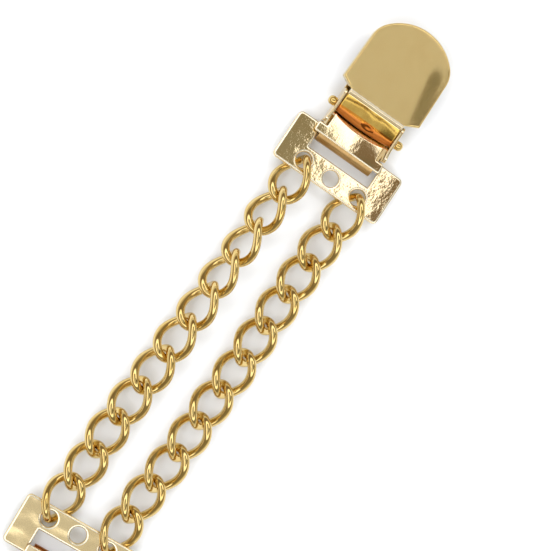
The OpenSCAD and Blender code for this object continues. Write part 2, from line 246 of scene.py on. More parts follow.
def fill(loops, cell):
    """Inner points and triangles of a region; the outlines' points come first."""
    edge = [p for loop in loops for p in loop]
    lo = Vector((min(p.x for p in edge), min(p.y for p in edge)))
    hi = Vector((max(p.x for p in edge), max(p.y for p in edge)))
    cells = {}
    for p in edge:
        cells.setdefault((int((p.x - lo.x) / cell), int((p.y - lo.y) / cell)), []).append(p)

    def clear(x, y):
        """Whether a point keeps its distance from the outlines."""
        i, j = int((x - lo.x) / cell), int((y - lo.y) / cell)
        near = [p for a in (-1, 0, 1) for b in (-1, 0, 1) for p in cells.get((i + a, j + b), ())]
        return all((p.x - x) ** 2 + (p.y - y) ** 2 > (CLEAR_SHARE * cell) ** 2 for p in near)

    inner = []
    rows = int((hi.y - lo.y) / (cell * ROW_SHARE)) + 1
    cols = int((hi.x - lo.x) / cell) + 1
    for r in range(rows):
        y = lo.y + (r + 0.5) * (hi.y - lo.y) / rows
        for c in range(cols):
            x = lo.x + (c + 0.25 + 0.5 * (r % 2)) * (hi.x - lo.x) / cols
            if clear(x, y) and inside(x, y, loops):
                inner.append(Vector((x, y)))
    points = edge + inner
    edges = []
    for ids in loop_ids(loops):
        edges += [(a, ids[(i + 1) % len(ids)]) for i, a in enumerate(ids)]
    _, _, faces, origin, _, _ = delaunay_2d_cdt(points, edges, [], 0, 1e-7)
    back = {i: ids[0] for i, ids in enumerate(origin) if ids}
    triangles = []
    for f in faces:
        if not all(i in back for i in f):
            continue
        a, b, c = (points[back[i]] for i in f)
        if inside((a.x + b.x + c.x) / 3, (a.y + b.y + c.y) / 3, loops):
            triangles.append([back[i] for i in f])
    return inner, triangles


def loop_ids(loops):
    """Indices of each outline's points."""
    out, start = [], 0
    for loop in loops:
        out.append(list(range(start, start + len(loop))))
        start += len(loop)
    return out


def slab(loops, z0, z1, r, cell, steps=4, bevel=0.0):
    """A flat plate between two heights, its edges rounded to r after a slight bevel on top.
    Outer outline counterclockwise, holes clockwise."""
    rings = []
    if bevel:
        rings += [(r + bevel + BEVEL_INNER, z1), (r + bevel, z1)]
    shoulder = z1 - bevel * BEVEL_SLOPE
    for k in range(steps + 1):
        a = math.radians(90 - 90 * k / steps)
        rings.append((r * (1 - math.cos(a)), shoulder - r * (1 - math.sin(a))))
    for k in range(0 if z1 - z0 > 2 * r + 1e-6 else 1, steps + 1):
        a = math.radians(90 * k / steps)
        rings.append((r * (1 - math.cos(a)), z0 + r * (1 - math.sin(a))))
    normals = [inward(loop) for loop in loops]
    verts = []
    for inset, z in rings:
        for loop, normal in zip(loops, normals):
            verts += [Vector((*(p + n * inset), z)) for p, n in zip(loop, normal)]
    size = sum(len(loop) for loop in loops)
    last = (len(rings) - 1) * size
    inner, triangles = fill([[Vector(verts[i][:2]) for i in ids] for ids in loop_ids(loops)], cell)
    first_top, first_low = len(verts), len(verts) + len(inner)
    verts += [Vector((*p, z1)) for p in inner] + [Vector((*p, z0)) for p in inner]
    faces = []
    for t in triangles:
        faces.append([i if i < size else first_top + i - size for i in t])
        faces.append([i + last if i < size else first_low + i - size for i in reversed(t)])
    for k in range(len(rings) - 1):
        for ids in loop_ids(loops):
            for i, a in enumerate(ids):
                b = ids[(i + 1) % len(ids)]
                faces.append([b + k * size, a + k * size, a + (k + 1) * size, b + (k + 1) * size])
    return verts, faces


def join(*parts):
    """Several solids as one."""
    verts, faces = [], []
    for v, f in parts:
        n = len(verts)
        verts += v
        faces += [[i + n for i in face] for face in f]
    return verts, faces


def moved(part, change):
    """The same faces with each vertex changed."""
    return [change(v) for v in part[0]], part[1]


def piece(name, part, matrix, skins, body, nodes):
    """Makes the mesh object, smooth and with outward normals, riding on its body in place of its nodes."""
    mesh = bpy.data.meshes.new(name)
    mesh.from_pydata([matrix @ v for v in part[0]], [], part[1])
    bm = bmesh.new()
    bm.from_mesh(mesh)
    bmesh.ops.remove_doubles(bm, verts=bm.verts, dist=MERGE)
    bmesh.ops.dissolve_degenerate(bm, edges=bm.edges, dist=DEGENERATE)
    bmesh.ops.recalc_face_normals(bm, faces=bm.faces)
    for f in bm.faces:
        f.smooth = True
    for e in bm.edges:
        if len(e.link_faces) == 2 and e.calc_face_angle(0) > SHARP:
            e.smooth = False
    bm.to_mesh(mesh)
    bm.free()
    for skin in skins:
        mesh.materials.append(skin)
    obj = bpy.data.objects.new(name, mesh)
    bpy.context.scene.collection.objects.link(obj)
    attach(obj, body)
    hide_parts(*nodes)
    return obj


# Materials

def srgb(r, g, b):
    """Linear colour of an sRGB colour given in 0..255."""
    out = []
    for c in (r / 255, g / 255, b / 255):
        out.append(c / 12.92 if c <= 0.04045 else ((c + 0.055) / 1.055) ** 2.4)
    return (*out, 1.0)


# Sizes of the skin's grain and of its patches of tone, and the depths of its three bumps, in mm
SPECKLE_SIZE, GRAIN_SIZE, TONE_SIZE = 0.55, 0.12, 3.5
PEEL_DEPTH, SPECKLE_DEPTH, GRAIN_DEPTH = 0.02, 0.008, 0.004

# Levels of noise between which the patches of tone set in and the roughness varies, and by how much
TONE_LOW, TONE_HIGH, GRAIN_LOW, GRAIN_HIGH, ROUGH_SPREAD = 0.45, 0.75, 0.3, 0.7, 0.25


def metal(name, color, rough, peel, peel_size, speckle, grain, aged, aged_color):
    """Plated metal with an uneven skin: slow waviness, speckle and fine grain as bumps,
    and patches of a deeper gold where the plating is thinner."""
    mat = bpy.data.materials.new(name)
    mat.use_nodes = True
    nodes, links = mat.node_tree.nodes, mat.node_tree.links
    shader = nodes["Principled BSDF"]
    shader.inputs["Metallic"].default_value = 1.0
    place = nodes.new("ShaderNodeTexCoord")

    def wave(size, detail, roughness=0.5):
        """Noise with features of about this size in mm."""
        tex = nodes.new("ShaderNodeTexNoise")
        tex.inputs["Scale"].default_value = 1 / (size * MM)
        tex.inputs["Detail"].default_value = detail
        tex.inputs["Roughness"].default_value = roughness
        links.new(place.outputs["Object"], tex.inputs["Vector"])
        return tex

    def spread(tex, low, high, to_low, to_high):
        """The noise's values from low to high, mapped to another range."""
        node = nodes.new("ShaderNodeMapRange")
        node.inputs["From Min"].default_value = low
        node.inputs["From Max"].default_value = high
        node.inputs["To Min"].default_value = to_low
        node.inputs["To Max"].default_value = to_high
        links.new(tex.outputs["Fac"], node.inputs["Value"])
        return node.outputs["Result"]

    fine = wave(GRAIN_SIZE, 2, 0.6)
    mix = nodes.new("ShaderNodeMix")
    mix.data_type = "RGBA"
    mix.inputs["A"].default_value = color
    mix.inputs["B"].default_value = aged_color
    patches = spread(wave(TONE_SIZE, 4, 0.6), TONE_LOW, TONE_HIGH, 0, aged)
    links.new(patches, mix.inputs["Factor"])
    links.new(mix.outputs["Result"], shader.inputs["Base Color"])
    least, most = rough * (1 - ROUGH_SPREAD), rough * (1 + ROUGH_SPREAD)
    links.new(spread(fine, GRAIN_LOW, GRAIN_HIGH, least, most), shader.inputs["Roughness"])
    bumps = [(wave(peel_size, 3), peel, PEEL_DEPTH), (wave(SPECKLE_SIZE, 2), speckle, SPECKLE_DEPTH),
             (fine, grain, GRAIN_DEPTH)]
    last = None
    for tex, strength, depth in bumps:
        if strength <= 0:
            continue
        bump = nodes.new("ShaderNodeBump")
        bump.inputs["Strength"].default_value = strength
        bump.inputs["Distance"].default_value = depth * MM
        links.new(tex.outputs["Fac"], bump.inputs["Height"])
        if last:
            links.new(last.outputs["Normal"], bump.inputs["Normal"])
        last = bump
    if last:
        links.new(last.outputs["Normal"], shader.inputs["Normal"])
    return mat


SATIN = metal("satin champagne plating", srgb(229, 204, 145), 0.22, peel=0.3, peel_size=3.0,
              speckle=0, grain=0.1, aged=0.35, aged_color=srgb(220, 190, 128))
MIRROR = metal("polished champagne plating", srgb(246, 228, 190), 0.05, peel=0.8, peel_size=1.3,
               speckle=0.9, grain=0.5, aged=0.6, aged_color=srgb(232, 200, 142))
MOTTLED = metal("uneven champagne plating", srgb(246, 228, 190), 0.05, peel=0.9, peel_size=1.2,
                speckle=1.5, grain=0.5, aged=0.6, aged_color=srgb(236, 206, 156))
SMOOTH = metal("smooth champagne plating", srgb(228, 208, 162), 0.10, peel=0.3, peel_size=1.8,
               speckle=0.3, grain=0.3, aged=0.5, aged_color=srgb(216, 190, 140))
# Painted highlight: a near-white plating for the bevels and thin lines of the neck's step, in place of the
# bright reflections along rounded edges
PAINTED_EDGE_HIGHLIGHT = metal("painted highlight on rounded edges", srgb(255, 248, 228), 0.28, peel=0.2, peel_size=1.3,
             speckle=0, grain=0.1, aged=0.2, aged_color=srgb(250, 232, 190))
# Painted reflection: the roll's amber colour stands in for warm light bounced between the gold surfaces
# round the roll
PAINTED_AMBER_REFLECTION = metal("polished plating, painted amber reflection", srgb(230, 158, 62), 0.09, peel=1.0, peel_size=1.8,
               speckle=1.2, grain=0.5, aged=0.9, aged_color=srgb(182, 98, 34))
# Painted shade: a darker satin gold on the fold, which lies in shade under the leaf
PAINTED_FOLD_SHADE = metal("painted shade on the fold", srgb(200, 166, 114), 0.34, peel=0.5, peel_size=1.5,
               speckle=0.3, grain=0.5, aged=0.6, aged_color=srgb(164, 126, 76))
# Painted shade: dark red-brown in the roll's stamped dimple and on the fold of clip b, which lies in shade
# under the leaf
PAINTED_RED_SHADE = metal("painted red-brown shade in dimple and fold", srgb(168, 98, 40), 0.12, peel=0.6, peel_size=1.5,
               speckle=0.6, grain=0.5, aged=0.5, aged_color=srgb(140, 74, 28))
# Painted reflection: olive gold on the roll's upper side, in place of a dark field reflected there
PAINTED_OLIVE_REFLECTION = metal("painted olive reflection on the roll", srgb(214, 180, 96), 0.15, peel=1.0, peel_size=1.6,
              speckle=1.0, grain=0.5, aged=0.8, aged_color=srgb(186, 142, 62))
# Painted reflection: red gold on the roll's underside, in place of light bounced off the gold leaf below it
PAINTED_RED_REFLECTION = metal("painted red reflection under the roll", srgb(222, 140, 68), 0.36, peel=0.6, peel_size=1.5,
               speckle=0.6, grain=0.3, aged=0.5, aged_color=srgb(190, 96, 40))
CHAIN = metal("deep gold wire", srgb(223, 196, 132), 0.08, peel=0.6, peel_size=1.2,
              speckle=0.3, grain=0.5, aged=0.6, aged_color=srgb(212, 174, 92))


def paint_bevel_highlights(obj, matrix):
    """Gives the faces of the slight bevels, which slope about 22 degrees, the second material: a painted
    highlight that stands in for the bright reflection along a rounded edge.
    """
    up = matrix.to_3x3().col[2].normalized()
    for f in obj.data.polygons:
        if BEVEL_LOW < f.normal.dot(up) < BEVEL_HIGH:
            f.material_index = 1


# Connector plates

def connector_plate(end):
    """A flat plate with a window and three holes, its skin slightly uneven and falling towards its wings."""
    half = PLATE_W / 2
    y0, y1 = BAR_W / 2 - PLATE_D, BAR_W / 2
    outline = rounded([(-half, y0), (half, y0), (half, y1), (-half, y1)], PLATE_CORNER, 8)
    x, w0, w1 = WINDOW_W / 2, y1 - BAR_W - WINDOW_D, y1 - BAR_W
    window = rounded([(-x, w0), (x, w0), (x, w1), (-x, w1)], WINDOW_CORNER, 3)
    holes = [round_hole(s * HOLE_PITCH, y0 + HOLE_EDGE, HOLE_R, 48) for s in (-1, 0, 1)]
    loops = [dense(outline, PLATE_STEP), list(reversed(dense(window, PLATE_STEP)))] + holes
    part = slab(loops, -PLATE_T / 2, PLATE_T / 2, PLATE_EDGE, PLATE_CELL, bevel=PLATE_BEVEL)

    def uneven(v):
        """The vertex moved along the plate's normal by the waves and the fall."""
        wave = noise.noise(Vector((v.x * WAVE_PER_X + WAVE_SHIFT[end], v.y * WAVE_PER_Y, WAVE_SLICE)))
        wing = max(0.0, abs(v.x) - WING_X)
        fall = PLATE_FALL * v.x * v.x + (WING_FALL_LEFT if v.x < 0 else WING_FALL_RIGHT) * wing * wing
        return v + Vector((0, 0, PLATE_WAVE[end] * wave - fall))

    # The second skin is the painted highlight on the bevels
    skins = [MOTTLED if end == "a" else SMOOTH, PAINTED_EDGE_HIGHLIGHT]
    matrix = plate_matrix(end)
    nodes = [f"connector_plate_{end}"]
    obj = piece(f"plate_{end}", moved(part, uneven), matrix, skins, "root", nodes)
    paint_bevel_highlights(obj, matrix)


# Clip bodies

def jaw_loop(inset, step=JAW_STEP):
    """Outline of the jaws in plan, counterclockwise from the neck's right corner."""
    rest = CAP_D - CAP_CORNER
    half = TIP_HALF - CAP_CORNER
    sink = (half * half - rest * rest) / (2 * rest)
    angle = math.degrees(math.atan2(sink, half))
    side = [Vector((NECK_HALF, NECK_Y + inset)), Vector((JAW_HALF - inset, SIDE_Y + inset))]
    corner = arc(half, CAP_Y, CAP_CORNER - inset, 0, angle, 10)
    top = arc(0, CAP_Y - sink, CAP_D + sink - inset, angle, 180 - angle, 24)
    left = [Vector((-p.x, p.y)) for p in reversed(side + corner)]
    return dense(side + corner + top[1:-1] + left, step)


def lower_sheets():
    """The back sheet under the pin, the lower jaw and its turned-up lip."""
    side, fold = BODY_W / 2 - SKIN_GAP, FOLD_W / 2
    outline = [(-fold, 0, 0), (fold, 0, 0), (fold, EAR_START), (side, EAR_START),
               (side, SIDE_Y, 0), (-side, SIDE_Y, 0), (-side, EAR_START), (-fold, EAR_START)]
    back_loop = dense(rounded(outline, LOWER_CORNER, 3), SHEET_STEP)
    back = slab([back_loop], 0, SHEET_T, SHEET_EDGE, SHEET_CELL)
    jaw = slab([jaw_loop(LOWER_INSET)], 0, SHEET_T, SHEET_EDGE, SHEET_CELL)
    outer = [p for p in jaw_loop(LOWER_INSET + SKIN_GAP) if p.y > CAP_Y]
    inner = [p for p in jaw_loop(LOWER_INSET + SHEET_T) if p.y > CAP_Y]
    lip = slab([outer + list(reversed(inner))], LIP_FOOT, LIP_Z, LIP_EDGE, LIP_CELL)
    return [back, jaw, lip]


def spring(x, y):
    """How far the spring leaf stands above a flat one: it falls towards the jaw and its right end."""
    crest = (CREST_LEFT if x < CREST_X else CREST_RIGHT) * (min(x, LEAF_HALF) - CREST_X) ** 2
    across = LEAF_SLANT * x + crest + LEAF_END_SLANT * max(0, x - LEAF_HALF)
    return LEAF_RISE - LEAF_FALL * (y - LEAF_TOP_Y) ** 2 - across


def leaf_sheet():
    """The T-shaped front leaf: two lugs, and a dip in its far edge that follows the roll."""
    side_roll = ROLL_R - CROWN_R + math.sqrt(CROWN_R ** 2 - LEAF_HALF ** 2)
    mid_y, side_y = PIN_Y - ROLL_R - GAP_MID, PIN_Y - side_roll - GAP_SIDE
    rise = side_y - mid_y
    dip_r = (LEAF_HALF ** 2 + rise ** 2) / (2 * rise)
    spread = math.degrees(math.asin(LEAF_HALF / dip_r))
    dip = arc(0, mid_y + dip_r, dip_r, 270 + spread, 270 - spread, 20)
    lug, neck_y = FOLD_W / 2 + LUG_OUT, LEAF_Y + LUG_D
    outline = [(lug, LEAF_Y, LUG_CORNER), (lug, neck_y, LUG_CORNER), (LEAF_HALF, neck_y)]
    outline += [(p.x, p.y, 0) for p in dip]
    outline += [(-LEAF_HALF, neck_y), (-lug, neck_y, LUG_CORNER), (-lug, LEAF_Y, LUG_CORNER)]
    edge = dense(rounded(outline, LEAF_CORNER, 4), LEAF_STEP)
    # Points close to a sharp tip would cross when the bevel moves them inwards
    tips = (dip[0], dip[-1])
    edge = [p for p in edge if not any(1e-6 < (p - tip).length < TIP_CLEAR for tip in tips)]
    leaf = slab([edge], FRONT_Z, FRONT_Z + SHEET_T, SHEET_EDGE, LEAF_CELL, bevel=LEAF_BEVEL)
    return moved(leaf, lambda v: Vector((v.x, v.y, v.z + spring(v.x, v.y))))


def fold_sheet(end):
    """The fold round the plate's bar, from the back sheet up to the leaf."""
    walls = []
    for r in (FOLD_R + SHEET_T, FOLD_R):
        stretch = (r + FOLD_BULGE[end]) / r
        walls.append([Vector((p.x * stretch, p.y)) for p in arc(0, 0, r, 90, 270, 24)])
    profile = walls[0] + list(reversed(walls[1]))
    around = slab([dense(profile, FOLD_STEP)], -FOLD_W / 2, FOLD_W / 2, FOLD_EDGE, FOLD_CELL)
    around = moved(around, lambda v: Vector((v.z, v.x, v.y + BAR_Z)))
    return moved(around, lambda v: v + UP * unit((v.z - BAR_Z) / FOLD_R) * (spring(v.x, v.y) - LEAF_SEAT))


def ear_sheets():
    """The two ears that carry the pin, flared outwards towards the plate."""
    under = JAW_TOP - JAW_T
    outline = [(EAR_START, 0, 0), (EAR_END, 0, 0), (EAR_END, under), (EAR_START, under)]
    edge = dense(rounded(outline, EAR_CORNER, 6), SHEET_STEP)
    pin_hole = round_hole(PIN_Y, PIN_Z, PIN_R + PIN_ROOM, 24)
    ear = slab([edge, pin_hole], 0, SHEET_T, EAR_EDGE, EAR_CELL)
    ears = []
    for side in (-1, 1):

        def stand(v, side=side):
            """The vertex of the flat ear where it stands up on this side."""
            out = unit((FLARE_Y - v.x) / FLARE_WAY) ** FLARE_POWER
            flare = EAR_FLARE * out * min(1.0, v.y / FLARE_RISE)
            return Vector((side * (BODY_W / 2 - v.z + flare), v.x, v.y))

        ears.append(moved(ear, stand))
    return ears


def clip_body(end):
    """The body of a clip, with painted shade as a skin of its own on the fold and on the leaf's lower edge,
    and a painted highlight on its bevels.
    """
    parts = join(*lower_sheets(), leaf_sheet(), fold_sheet(end), *ear_sheets())
    matrix = clip_matrix(end)
    # Skins: mirror plating, the painted edge highlight, and painted shade on the fold
    skins = [MIRROR, PAINTED_EDGE_HIGHLIGHT, PAINTED_FOLD_SHADE if end == "a" else PAINTED_RED_SHADE]
    obj = piece(f"body_{end}", parts, matrix, skins, f"clip_{end}", [f"loop_body_{end}"])
    paint_bevel_highlights(obj, matrix)
    # Faces of the fold under the leaf get the painted shade
    frame_of = matrix.inverted()
    for f in obj.data.polygons:
        v = frame_of @ f.center
        if v.y < LEAF_Y - FOLD_MARGIN or (v.y < FOLD_FROM_Y and v.z < FRONT_Z - FOLD_MARGIN):
            f.material_index = 2


# Upper jaws

def flap():
    """The D-shaped flap: a flat top, a soft edge and a turned-down rim, with a shallow dent on the right."""
    loop = jaw_loop(0, FLAP_STEP)
    normals = inward(loop)
    weight = []
    for p in loop:
        weight.append(unit((p.y - NECK_Y) / SOFT_START) if abs(p.x) <= NECK_HALF + NECK_MARGIN else 1.0)
    # Each ring is its inset, its height below the top, and whether it thins to the sheet at the neck
    rings = []
    for k in range(9):
        a = math.radians(90 - 90 * k / 8)
        rings.append((SOFT * (1 - math.cos(a)), -SOFT_Z * (1 - math.sin(a)), False))
    rings.append((0, -RIM_H + RIM_SOFT, False))
    rings.append((RIM_CUT_IN, -RIM_H + RIM_CUT_UP, False))
    rings.append((RIM_SOFT, -RIM_H, False))
    rings.append((RIM_T - RIM_SOFT, -RIM_H, False))
    rings.append((RIM_T - RIM_CUT_IN, -RIM_H + RIM_CUT_UP, False))
    rings.append((RIM_T, -RIM_H + RIM_SOFT, False))
    rings.append((RIM_T, -FILLET_DROP, False))
    rings.append((SOFT + FILLET_IN, -JAW_T, True))
    size = len(loop)
    verts = []
    for inset, drop, thins in rings:
        for p, n, w in zip(loop, normals, weight):
            z = JAW_TOP + drop * w - (JAW_T * (1 - w) if thins else 0)
            verts.append(Vector((*(p + n * inset * w), z)))
    inner, triangles = fill([[Vector(v[:2]) for v in verts[:size]]], FLAP_CELL)
    first, second = len(verts), len(verts) + len(inner)
    verts += [Vector((*p, JAW_TOP)) for p in inner] + [Vector((*p, JAW_TOP - JAW_T)) for p in inner]
    last = (len(rings) - 1) * size
    faces = []
    for t in triangles:
        faces.append([i if i < size else first + i - size for i in t])
        faces.append([i + last if i < size else second + i - size for i in reversed(t)])
    for k in range(len(rings) - 1):
        for i in range(size):
            j = (i + 1) % size
            faces.append([j + k * size, i + k * size, i + (k + 1) * size, j + (k + 1) * size])

    def dented(v):
        """The vertex lowered by the dent, less so towards the foot of the rim."""
        across = unit((v.x - DENT_X + DENT_SLANT * (v.y - DENT_X_AT_Y)) / DENT_WAY)
        depth = DENT_DEPTH + DENT_GROWTH * (v.y - DENT_DEPTH_AT_Y)
        side = depth * across * across * (3 - 2 * across)
        along = unit((v.y - NECK_Y) / DENT_START) * unit((DENT_END - v.y) / DENT_FADE)
        high = max(0.0, (v.z - JAW_TOP + RIM_H) / RIM_H)
        return Vector((v.x, v.y, v.z - side * along * high))

    return moved((verts, faces), dented)


def neck_path():
    """Side view of the neck up to the roll, as (y, z): flat, over the step and down into a groove."""
    path = [(NECK_Y + NECK_UNDER, JAW_TOP), (NECK_Y - NECK_FLAT, JAW_TOP)]
    for degrees in range(0, STEP_SLOPE + 1, 5):
        a = math.radians(degrees)
        path.append((NECK_Y - STEP_IN - STEP_R * math.sin(a), JAW_TOP - STEP_R * (1 - math.cos(a))))
    y, z = path[-1]
    low = JAW_TOP - STEP_DROP
    groove = (y - (z - low) / math.tan(math.radians(STEP_SLOPE)), low)
    return path + [((y + groove[0]) / 2, (z + groove[1]) / 2), groove]


def neck():
    """The neck: along its path, up on the roll from the groove and round the pin, crowned across."""
    path = neck_path()
    away = Vector(path[-1]) - Vector((PIN_Y, PIN_Z))
    seat = math.degrees(math.atan2(away.y, away.x) + math.acos(ROLL_R / away.length))
    sections = []
    for k, (y, z) in enumerate(path):
        q = path[min(k + 1, len(path) - 1)]
        o = path[max(k - 1, 0)]
        t = Vector((q[0] - o[0], q[1] - o[1])).normalized()
        sections.append((Vector((y, z)), Vector((t.y, -t.x)), None))
    for k in range(ROLL_STEPS + 1):
        a = seat + (ROLL_END - seat) * k / ROLL_STEPS
        sections.append((None, Vector((math.cos(math.radians(a)), math.sin(math.radians(a)))), a))
    verts = []
    for place, n, a in sections:
        for side in (1, -1):
            for c in range(NECK_COLS):
                share = -1 + 2 * c / (NECK_COLS - 1)
                x = side * math.copysign(1 - (1 - abs(share)) ** COL_BUNCHING, share) * NECK_HALF
                edge = min(1.0, (NECK_HALF - abs(x)) / NECK_EDGE)
                bite = NECK_EDGE * (1 - math.sqrt(max(0.0, 1 - (1 - edge) ** 2)))
                base = place
                if a is not None:
                    off_x, off_a = (x - DIMPLE_X) / DIMPLE_SOFT, (a - DIMPLE_AT) / DIMPLE_SPAN
                    dent = DIMPLE_DEPTH * math.exp(-(off_x ** 2) - (off_a ** 2))
                    r = ROLL_R - CROWN_R + math.sqrt(CROWN_R ** 2 - x * x)
                    base = Vector((PIN_Y, PIN_Z)) + n * (r - dent)
                p = base + n * (-bite if side == 1 else bite - ROLL_T)
                verts.append(Vector((x, p.x, p.y)))
    count = 2 * NECK_COLS
    faces = []
    for k in range(len(sections) - 1):
        for i in range(count):
            j = (i + 1) % count
            faces.append([i + k * count, j + k * count, j + (k + 1) * count, i + (k + 1) * count])
    for k in (0, len(sections) - 1):
        for c in range(NECK_COLS - 1):
            quad = [c, c + 1, count - 2 - c, count - 1 - c]
            faces.append([i + k * count for i in (quad if k else reversed(quad))])
    return verts, faces


def front_jaw(end):
    """The upper jaw, with the skins of its flap, its step and its roll: satin on the flap, painted highlight
    lines on the step, and painted reflections and painted shade on the roll.
    """
    matrix = clip_matrix(end)
    skins = [SATIN, PAINTED_AMBER_REFLECTION, MIRROR, PAINTED_EDGE_HIGHLIGHT, PAINTED_RED_SHADE, PAINTED_OLIVE_REFLECTION, PAINTED_RED_REFLECTION]
    parts = join(flap(), neck())
    obj = piece(f"jaw_{end}", parts, matrix, skins, f"jaw_{end}", [f"front_jaw_{end}"])
    groove_y = neck_path()[-1][0]
    frame_of = matrix.inverted()
    for f in obj.data.polygons:
        v = frame_of @ f.center
        at = math.degrees(math.atan2(v.z - PIN_Z, v.y - PIN_Y))
        if v.y > NECK_Y - SKIN_MARGIN:
            skin = SATIN
        elif v.y >= groove_y + SKIN_MARGIN:
            # Thin bands of the step get the painted highlight, the rest of it mirror plating
            skin = PAINTED_EDGE_HIGHLIGHT if any(low < v.y < high for low, high in PAINTED_GLINT_LINES) else MIRROR
        # Painted shade in the dimple
        elif math.hypot((v.x - DIMPLE_X) / DIMPLE_HALF, (at - DIMPLE_AT) / DIMPLE_SPAN) < 1:
            skin = PAINTED_RED_SHADE
        # Painted red reflection on the roll's underside
        elif at > FOOT_START or at < FOOT_UNDER:
            skin = PAINTED_RED_REFLECTION
        # Painted olive reflection up to the crest's end, painted amber reflection beyond it
        else:
            skin = PAINTED_OLIVE_REFLECTION if at < CREST_END else PAINTED_AMBER_REFLECTION
        f.material_index = skins.index(skin)


# Hinge pins

def hinge_pin(end):
    """The round pin with a domed head at each end."""
    shape = [(0, PIN_R), (HEAD_IN, PIN_R), (HEAD_IN, HEAD_R - HEAD_SOFT), (HEAD_IN + HEAD_SOFT, HEAD_R)]
    start = HEAD_IN + HEAD_L - HEAD_ROUND
    for k in range(0, 91, 10):
        a = math.radians(k)
        r = HEAD_R * math.cos(a) ** HEAD_POWER if k < 90 else 0.0
        shape.append((start + HEAD_ROUND * math.sin(a), r))
    shape = [(-x, r) for x, r in reversed(shape[1:])] + shape
    sides = 32
    verts, faces = [], []
    for x, r in shape:
        for k in range(sides):
            a = math.tau * k / sides
            verts.append(Vector((x, PIN_Y + r * math.cos(a), PIN_Z + r * math.sin(a))))
    for i in range(len(shape) - 1):
        for k in range(sides):
            m = (k + 1) % sides
            faces.append([i * sides + k, i * sides + m, (i + 1) * sides + m, (i + 1) * sides + k])
    nodes = [f"hinge_pin_{end}"]
    piece(f"pin_{end}", (verts, faces), clip_matrix(end), [CHAIN], f"clip_{end}", nodes)


# Chain

# How far the end links reach past the middle of their holes in plate a and in plate b, in mm
PASS = {"left": (0.4, 0.15), "right": (0.15, 0.15)}

# Sideways bow of each strand in mm, by the share of the way from plate a to plate b
ROUTE = {
    "left": [(0, 0), (0.06, 0.1), (0.14, -0.2), (0.23, -0.3), (0.32, -0.4), (0.41, -0.2), (0.5, -0.3),
             (0.59, -0.25), (0.68, -0.45), (0.77, -0.45), (0.86, -0.2), (0.94, -0.3), (1, 0)],
    "right": [(0, 0), (0.06, -0.1), (0.14, -0.45), (0.32, -0.25), (0.41, -0.1), (0.5, 0.1),
              (0.59, 0), (0.68, 0.15), (0.77, 0.05), (0.86, -0.3), (0.94, -0.25), (1, 0)]}

# Roll of a strand's links about their own length in degrees, by the same share
ROLL = {
    "left": [(0.055, 33), (0.145, 43), (0.235, 50), (0.32, 46), (0.41, 37), (0.5, 28),
             (0.59, 19), (0.68, 11), (0.77, 3), (0.86, -5), (0.945, -12)],
    "right": [(0.055, 20), (0.145, 13), (0.235, 6), (0.32, 1), (0.5, 0),
              (0.68, 0), (0.77, -3), (0.855, -7), (0.945, -12)]}


def lookup(table, at):
    """Value of a table of (place, value) rows at a place, straight between its rows."""
    if at <= table[0][0]:
        return table[0][1]
    for (a, x), (b, y) in zip(table, table[1:]):
        if at <= b:
            return x + (y - x) * (at - a) / (b - a)
    return table[-1][1]


def floor_hole(end, strand):
    """Place on the floor of the hole that a strand hangs in, in mm."""
    middle = Vector(MOUNTS[f"middle_hole_{end}"]["pos_m"]) / MM
    across = Vector(JOINTS[f"clip_{end}_swing"]["axis"])
    sign = 1 if (strand == "right") == (end == "a") else -1
    return (middle + across * HOLE_PITCH * sign).to_2d()


def chain(strand):
    """The links of a strand, evenly spaced from the hole in plate a to the hole in plate b."""
    start, stop = floor_hole("a", strand), floor_hole("b", strand)
    way = stop - start
    length = way.length
    side = Vector((-way.y, way.x)) / length
    first, last = LINK_B - PASS[strand][0], LINK_B - PASS[strand][1]

    def at(share):
        """Place on the floor at this share of the way."""
        return start + way * share + side * lookup(ROUTE[strand], share)

    for i in range(LINKS):
        share = (first + i * (length - first - last) / (LINKS - 1)) / length
        d = at(min(1, share + BEND_REACH)) - at(max(0, share - BEND_REACH))
        turn = math.atan2(d.x, -d.y)
        roll = math.radians(lookup(ROLL[strand], share))
        snug = 1 if i == 0 else -1 if i == LINKS - 1 else 0
        link(f"{strand}_{i + 1}", at(share), turn, roll, snug)


def link(name, place, turn, roll, snug):
    """A twisted link of slightly flattened wire. Where snug is 1 or -1, its end in a plate is round wire."""
    long, sides = 72, 16

    def slant(t):
        """Angle of the link's wire out of its plane, where t runs round the link."""
        return math.radians(TWIST) * math.sin(t) + roll

    line = []
    for k in range(long):
        t = math.tau * k / long
        u = LINK_A * math.cos(t)
        line.append(Vector((u * math.cos(slant(t)), LINK_B * math.sin(t), u * math.sin(slant(t)))))
    verts, faces = [], []
    for k, p in enumerate(line):
        t = math.tau * k / long
        ahead = (line[(k + 1) % long] - line[k - 1]).normalized()
        out = Vector((math.cos(t) * math.cos(slant(t)), math.sin(t), math.cos(t) * math.sin(slant(t))))
        up = ahead.cross(out).normalized()
        out = up.cross(ahead)
        near = unit((snug * math.sin(t) - ROUND_START) / ROUND_WAY) if snug else 0.0
        wide = WIRE_WIDE + (WIRE_THICK - WIRE_WIDE) * near
        for m in range(sides):
            a = math.tau * m / sides
            verts.append(p + out * wide * math.cos(a) + up * WIRE_THICK * math.sin(a))
    for k in range(long):
        for m in range(sides):
            n, q = (k + 1) % long, (m + 1) % sides
            faces.append([k * sides + m, n * sides + m, n * sides + q, k * sides + q])
    low = min(v.z for v in verts)
    shift = Matrix.Translation((place.x, place.y, -low))
    matrix = Matrix.Scale(MM, 4) @ shift @ Matrix.Rotation(turn, 4, "Z")
    piece(f"curb_{name}", (verts, faces), matrix, [CHAIN], "root", [f"link_{name}"])


for end in ("a", "b"):
    connector_plate(end)
    clip_body(end)
    front_jaw(end)
    hinge_pin(end)
for strand in ("left", "right"):
    chain(strand)


# Camera: fitted to the photo's frame, where x is right and y up in mm, and the part lies turned

